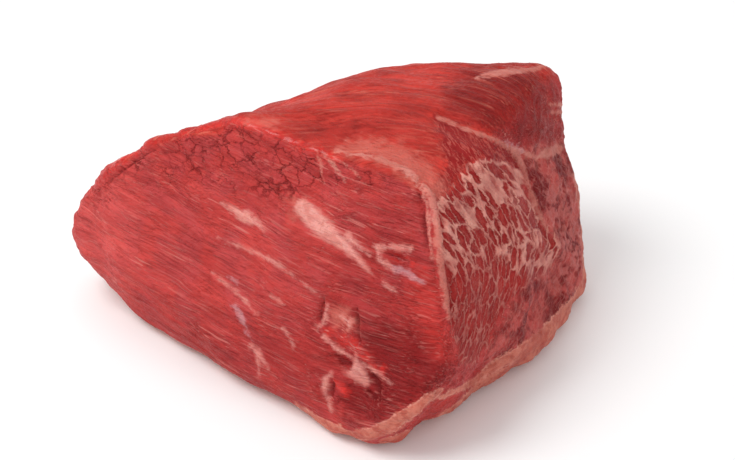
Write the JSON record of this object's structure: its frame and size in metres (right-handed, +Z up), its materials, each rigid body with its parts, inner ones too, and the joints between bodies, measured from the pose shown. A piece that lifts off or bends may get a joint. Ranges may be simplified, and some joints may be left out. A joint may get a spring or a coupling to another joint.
{
  "type": "beef joint",
  "caption": "Raw beef joint for roasting: a thick wedge-shaped block of lean, grained muscle with a marbled end and a fat cap it rests on.",
  "frame": {"origin": "middle of the bounding box's bottom face, on the surface that the joint rests on", "axes": "+X along the longest way, towards the marbled end; +Y away from the wide cut front; +Z up"},
  "size_m": [0.221, 0.163, 0.1062],
  "materials": {
    "flesh": "moist raw beef, lean red with pale fat"
  },
  "bodies": {
    "root": {"beef_joint": "flesh"}
  },
  "joints": []
}
